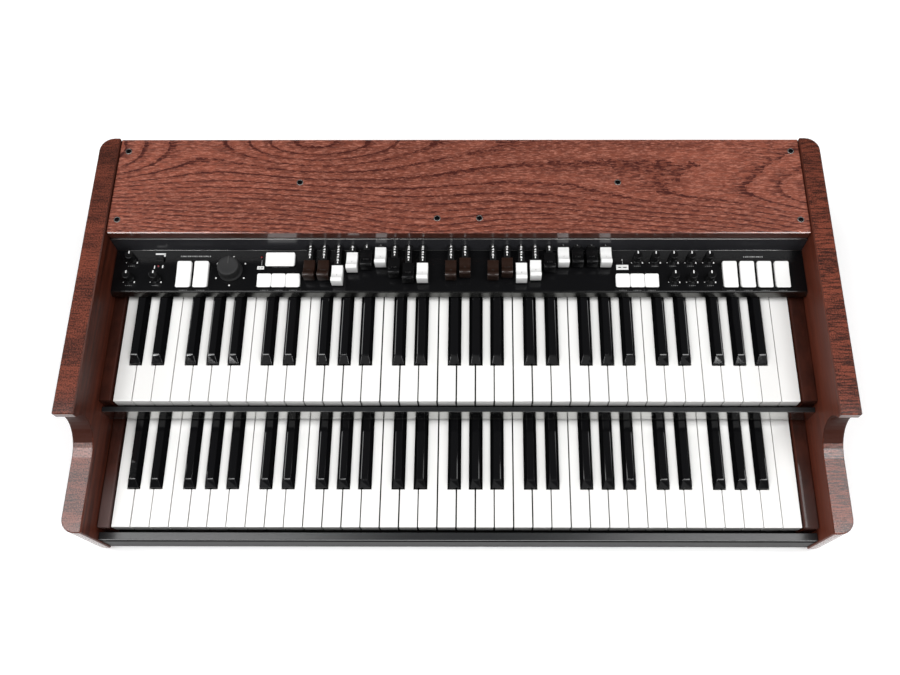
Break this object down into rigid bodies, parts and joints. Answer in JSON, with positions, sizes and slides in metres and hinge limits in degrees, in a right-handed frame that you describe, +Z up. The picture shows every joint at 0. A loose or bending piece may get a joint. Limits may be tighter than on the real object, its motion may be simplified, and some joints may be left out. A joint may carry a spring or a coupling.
{
  "type": "electronic organ",
  "caption": "Two-manual electronic drawbar organ in a wooden case, with stepped keyboards, sliding drawbars, rocker tabs and rotary knobs on a black folded panel.",
  "frame": {"origin": "middle of the footprint, at the height of the surface that the feet stand on", "axes": "+X to the right of the player, +Y to the rear away from the player, +Z up"},
  "size_m": [0.936, 0.5014, 0.183],
  "materials": {
    "cheek_wood": "satin lacquered red-brown wood with cross figure",
    "board_wood": "satin lacquered rosy brown wood with wavy grain",
    "natural_plastic": "warm white gloss",
    "sharp_plastic": "black gloss",
    "panel_paint": "fine black paint",
    "rail_paint": "dark grey satin paint",
    "pan_paint": "black grey satin paint",
    "knob_plastic": "black moulded plastic",
    "white_plastic": "white moulded plastic",
    "brown_plastic": "brown moulded plastic",
    "black_plastic": "black moulded plastic",
    "circuit_green": "green circuit board"
  },
  "bodies": {
    "case": {"bottom_pan": "pan_paint", "control_panel": "panel_paint", "keybed_frame": "rail_paint", "left_cheek": "cheek_wood", "left_key_block": "cheek_wood", "main_board": "circuit_green", "power_inlet": "knob_plastic", "rear_panel": "pan_paint", "right_cheek": "cheek_wood", "right_key_block": "cheek_wood", "slip_rail": "rail_paint", "top_board": "board_wood"},
    "lower_naturals_cegb": {"lower_naturals_cegb": "natural_plastic"},
    "lower_naturals_dfa": {"lower_naturals_dfa": "natural_plastic"},
    "lower_sharps": {"lower_sharps": "sharp_plastic"},
    "upper_naturals_cegb": {"upper_naturals_cegb": "natural_plastic"},
    "upper_naturals_dfa": {"upper_naturals_dfa": "natural_plastic"},
    "upper_sharps": {"upper_sharps": "sharp_plastic"},
    "drawbar_01": {"drawbar_01": "brown_plastic"},
    "drawbar_03": {"drawbar_03": "white_plastic"},
    "drawbar_06": {"drawbar_06": "white_plastic"},
    "drawbar_09": {"drawbar_09": "white_plastic"},
    "drawbar_10": {"drawbar_10": "brown_plastic"},
    "drawbar_14": {"drawbar_14": "white_plastic"},
    "drawbar_20": {"drawbar_20": "white_plastic"},
    "tab_left_1": {"tab_left_1": "white_plastic"},
    "tab_left_2": {"tab_left_2": "white_plastic"},
    "wide_tab": {"wide_tab": "white_plastic"},
    "small_tabs_left": {"small_tabs_left": "white_plastic"},
    "small_tabs_right": {"small_tabs_right": "white_plastic"},
    "tab_right_1": {"tab_right_1": "white_plastic"},
    "tab_right_4": {"tab_right_4": "white_plastic"},
    "push_button": {"push_button": "knob_plastic"},
    "selector_knob": {"selector_knob": "knob_plastic"},
    "knob_left_1": {"knob_left_1": "knob_plastic"},
    "knob_back_1": {"knob_back_1": "knob_plastic"},
    "drawbar_02": {"drawbar_02": "brown_plastic"},
    "drawbar_04": {"drawbar_04": "white_plastic"},
    "drawbar_05": {"drawbar_05": "black_plastic"},
    "drawbar_07": {"drawbar_07": "black_plastic"},
    "drawbar_08": {"drawbar_08": "black_plastic"},
    "drawbar_11": {"drawbar_11": "brown_plastic"},
    "drawbar_12": {"drawbar_12": "brown_plastic"},
    "drawbar_13": {"drawbar_13": "brown_plastic"},
    "drawbar_15": {"drawbar_15": "white_plastic"},
    "drawbar_16": {"drawbar_16": "black_plastic"},
    "drawbar_17": {"drawbar_17": "white_plastic"},
    "drawbar_18": {"drawbar_18": "black_plastic"},
    "drawbar_19": {"drawbar_19": "black_plastic"},
    "knob_back_2": {"knob_back_2": "knob_plastic"},
    "knob_back_3": {"knob_back_3": "knob_plastic"},
    "knob_back_4": {"knob_back_4": "knob_plastic"},
    "knob_back_5": {"knob_back_5": "knob_plastic"},
    "knob_front_1": {"knob_front_1": "knob_plastic"},
    "knob_front_2": {"knob_front_2": "knob_plastic"},
    "knob_front_3": {"knob_front_3": "knob_plastic"},
    "knob_left_2": {"knob_left_2": "knob_plastic"},
    "knob_left_3": {"knob_left_3": "knob_plastic"},
    "tab_right_2": {"tab_right_2": "white_plastic"},
    "tab_right_3": {"tab_right_3": "white_plastic"}
  },
  "joints": [
    {"name": "lower_naturals_cegb_press", "type": "hinge", "parent": "case", "child": "lower_naturals_cegb", "pos_m": [0, -0.0532, 0.0465], "axis": [1, 0, 0], "range_deg": [0, 3.17], "stiffness_Nm_per_rad": 20, "springref_deg": -3.44},
    {"name": "lower_naturals_dfa_press", "type": "hinge", "parent": "case", "child": "lower_naturals_dfa", "pos_m": [0, -0.0412, 0.0465], "axis": [1, 0, 0], "range_deg": [0, 2.97], "stiffness_Nm_per_rad": 15, "springref_deg": -3.44},
    {"name": "lower_sharps_press", "type": "hinge", "parent": "case", "child": "lower_sharps", "pos_m": [0, -0.0292, 0.0465], "axis": [1, 0, 0], "range_deg": [0, 3.29], "stiffness_Nm_per_rad": 25, "springref_deg": -3.44},
    {"name": "upper_naturals_cegb_press", "type": "hinge", "parent": "case", "child": "upper_naturals_cegb", "pos_m": [0, 0.0915, 0.0999], "axis": [1, 0, 0], "range_deg": [0, 3.17], "stiffness_Nm_per_rad": 20, "springref_deg": -3.44},
    {"name": "upper_naturals_dfa_press", "type": "hinge", "parent": "case", "child": "upper_naturals_dfa", "pos_m": [0, 0.1035, 0.0999], "axis": [1, 0, 0], "range_deg": [0, 2.97], "stiffness_Nm_per_rad": 15, "springref_deg": -3.44},
    {"name": "upper_sharps_press", "type": "hinge", "parent": "case", "child": "upper_sharps", "pos_m": [0, 0.1155, 0.0999], "axis": [1, 0, 0], "range_deg": [0, 3.29], "stiffness_Nm_per_rad": 25, "springref_deg": -3.44},
    {"name": "drawbar_01_pull", "type": "slide", "parent": "case", "child": "drawbar_01", "axis": [0, -1, 0], "range_m": [-0.0185, 0.0111]},
    {"name": "drawbar_03_pull", "type": "slide", "parent": "case", "child": "drawbar_03", "axis": [0, -1, 0], "range_m": [-0.0259, 0.0037]},
    {"name": "drawbar_06_pull", "type": "slide", "parent": "case", "child": "drawbar_06", "axis": [0, -1, 0], "range_m": [0, 0.0296]},
    {"name": "drawbar_09_pull", "type": "slide", "parent": "case", "child": "drawbar_09", "axis": [0, -1, 0], "range_m": [-0.0222, 0.0074]},
    {"name": "drawbar_10_pull", "type": "slide", "parent": "case", "child": "drawbar_10", "axis": [0, -1, 0], "range_m": [-0.0185, 0.0111]},
    {"name": "drawbar_14_pull", "type": "slide", "parent": "case", "child": "drawbar_14", "axis": [0, -1, 0], "range_m": [-0.0222, 0.0074]},
    {"name": "drawbar_20_pull", "type": "slide", "parent": "case", "child": "drawbar_20", "axis": [0, -1, 0], "range_m": [0, 0.0296]},
    {"name": "tab_left_1_rock", "type": "hinge", "parent": "case", "child": "tab_left_1", "pos_m": [-0.3503, 0.0718, 0.13685], "axis": [1, 0, 0], "range_deg": [-8, 0]},
    {"name": "tab_left_2_rock", "type": "hinge", "parent": "case", "child": "tab_left_2", "pos_m": [-0.3283, 0.0718, 0.13685], "axis": [1, 0, 0], "range_deg": [-8, 0]},
    {"name": "wide_tab_rock", "type": "hinge", "parent": "case", "child": "wide_tab", "pos_m": [-0.2286, 0.0928, 0.13685], "axis": [1, 0, 0], "range_deg": [-8, 0]},
    {"name": "small_tabs_left_rock", "type": "hinge", "parent": "case", "child": "small_tabs_left", "pos_m": [-0.2286, 0.06295, 0.13685], "axis": [1, 0, 0], "range_deg": [-8, 0]},
    {"name": "small_tabs_right_rock", "type": "hinge", "parent": "case", "child": "small_tabs_right", "pos_m": [0.2269, 0.06295, 0.13685], "axis": [1, 0, 0], "range_deg": [-8, 0]},
    {"name": "tab_right_1_rock", "type": "hinge", "parent": "case", "child": "tab_right_1", "pos_m": [0.34534, 0.0718, 0.13685], "axis": [1, 0, 0], "range_deg": [-8, 0]},
    {"name": "tab_right_4_rock", "type": "hinge", "parent": "case", "child": "tab_right_4", "pos_m": [0.41134, 0.0718, 0.13685], "axis": [1, 0, 0], "range_deg": [-8, 0]},
    {"name": "push_button_press", "type": "slide", "parent": "case", "child": "push_button", "axis": [0, 0, -1], "range_m": [0, 0.0015], "stiffness_N_per_m": 300, "springref_m": -0.001},
    {"name": "selector_knob_turn", "type": "hinge", "parent": "case", "child": "selector_knob", "pos_m": [-0.2922, 0.0795, 0.1376], "axis": [0, 0, 1], "range_deg": [-300, 0]},
    {"name": "knob_left_1_turn", "type": "hinge", "parent": "case", "child": "knob_left_1", "pos_m": [-0.42084, 0.09605, 0.1376], "axis": [0, 0, 1], "range_deg": [-150, 150]},
    {"name": "knob_back_1_turn", "type": "hinge", "parent": "case", "child": "knob_back_1", "pos_m": [0.2289, 0.09605, 0.1376], "axis": [0, 0, 1], "range_deg": [-150, 150]},
    {"name": "drawbar_02_pull", "type": "slide", "parent": "case", "child": "drawbar_02", "axis": [0, -1, 0], "range_m": [-0.0185, 0.0111]},
    {"name": "drawbar_04_pull", "type": "slide", "parent": "case", "child": "drawbar_04", "axis": [0, -1, 0], "range_m": [-0.0074, 0.0222]},
    {"name": "drawbar_05_pull", "type": "slide", "parent": "case", "child": "drawbar_05", "axis": [0, -1, 0], "range_m": [-0.0037, 0.0259]},
    {"name": "drawbar_07_pull", "type": "slide", "parent": "case", "child": "drawbar_07", "axis": [0, -1, 0], "range_m": [-0.0148, 0.0148]},
    {"name": "drawbar_08_pull", "type": "slide", "parent": "case", "child": "drawbar_08", "axis": [0, -1, 0], "range_m": [-0.0222, 0.0074]},
    {"name": "drawbar_11_pull", "type": "slide", "parent": "case", "child": "drawbar_11", "axis": [0, -1, 0], "range_m": [-0.0148, 0.0148]},
    {"name": "drawbar_12_pull", "type": "slide", "parent": "case", "child": "drawbar_12", "axis": [0, -1, 0], "range_m": [-0.0185, 0.0111]},
    {"name": "drawbar_13_pull", "type": "slide", "parent": "case", "child": "drawbar_13", "axis": [0, -1, 0], "range_m": [-0.0148, 0.0148]},
    {"name": "drawbar_15_pull", "type": "slide", "parent": "case", "child": "drawbar_15", "axis": [0, -1, 0], "range_m": [-0.0185, 0.0111]},
    {"name": "drawbar_16_pull", "type": "slide", "parent": "case", "child": "drawbar_16", "axis": [0, -1, 0], "range_m": [-0.0074, 0.0222]},
    {"name": "drawbar_17_pull", "type": "slide", "parent": "case", "child": "drawbar_17", "axis": [0, -1, 0], "range_m": [0, 0.0296]},
    {"name": "drawbar_18_pull", "type": "slide", "parent": "case", "child": "drawbar_18", "axis": [0, -1, 0], "range_m": [0, 0.0296]},
    {"name": "drawbar_19_pull", "type": "slide", "parent": "case", "child": "drawbar_19", "axis": [0, -1, 0], "range_m": [0, 0.0296]},
    {"name": "knob_back_2_turn", "type": "hinge", "parent": "case", "child": "knob_back_2", "pos_m": [0.2517, 0.09605, 0.1376], "axis": [0, 0, 1], "range_deg": [-150, 150]},
    {"name": "knob_back_3_turn", "type": "hinge", "parent": "case", "child": "knob_back_3", "pos_m": [0.2745, 0.09605, 0.1376], "axis": [0, 0, 1], "range_deg": [-150, 150]},
    {"name": "knob_back_4_turn", "type": "hinge", "parent": "case", "child": "knob_back_4", "pos_m": [0.2973, 0.09605, 0.1376], "axis": [0, 0, 1], "range_deg": [-150, 150]},
    {"name": "knob_back_5_turn", "type": "hinge", "parent": "case", "child": "knob_back_5", "pos_m": [0.3201, 0.09605, 0.1376], "axis": [0, 0, 1], "range_deg": [-150, 150]},
    {"name": "knob_front_1_turn", "type": "hinge", "parent": "case", "child": "knob_front_1", "pos_m": [0.2745, 0.06845, 0.1376], "axis": [0, 0, 1], "range_deg": [-150, 150]},
    {"name": "knob_front_2_turn", "type": "hinge", "parent": "case", "child": "knob_front_2", "pos_m": [0.2973, 0.06845, 0.1376], "axis": [0, 0, 1], "range_deg": [-150, 150]},
    {"name": "knob_front_3_turn", "type": "hinge", "parent": "case", "child": "knob_front_3", "pos_m": [0.3201, 0.06845, 0.1376], "axis": [0, 0, 1], "range_deg": [-150, 150]},
    {"name": "knob_left_2_turn", "type": "hinge", "parent": "case", "child": "knob_left_2", "pos_m": [-0.42084, 0.06845, 0.1376], "axis": [0, 0, 1], "range_deg": [-150, 150]},
    {"name": "knob_left_3_turn", "type": "hinge", "parent": "case", "child": "knob_left_3", "pos_m": [-0.38664, 0.06845, 0.1376], "axis": [0, 0, 1], "range_deg": [-150, 150]},
    {"name": "tab_right_2_rock", "type": "hinge", "parent": "case", "child": "tab_right_2", "pos_m": [0.36734, 0.0718, 0.13685], "axis": [1, 0, 0], "range_deg": [-8, 0]},
    {"name": "tab_right_3_rock", "type": "hinge", "parent": "case", "child": "tab_right_3", "pos_m": [0.38934, 0.0718, 0.13685], "axis": [1, 0, 0], "range_deg": [-8, 0]}
  ]
}
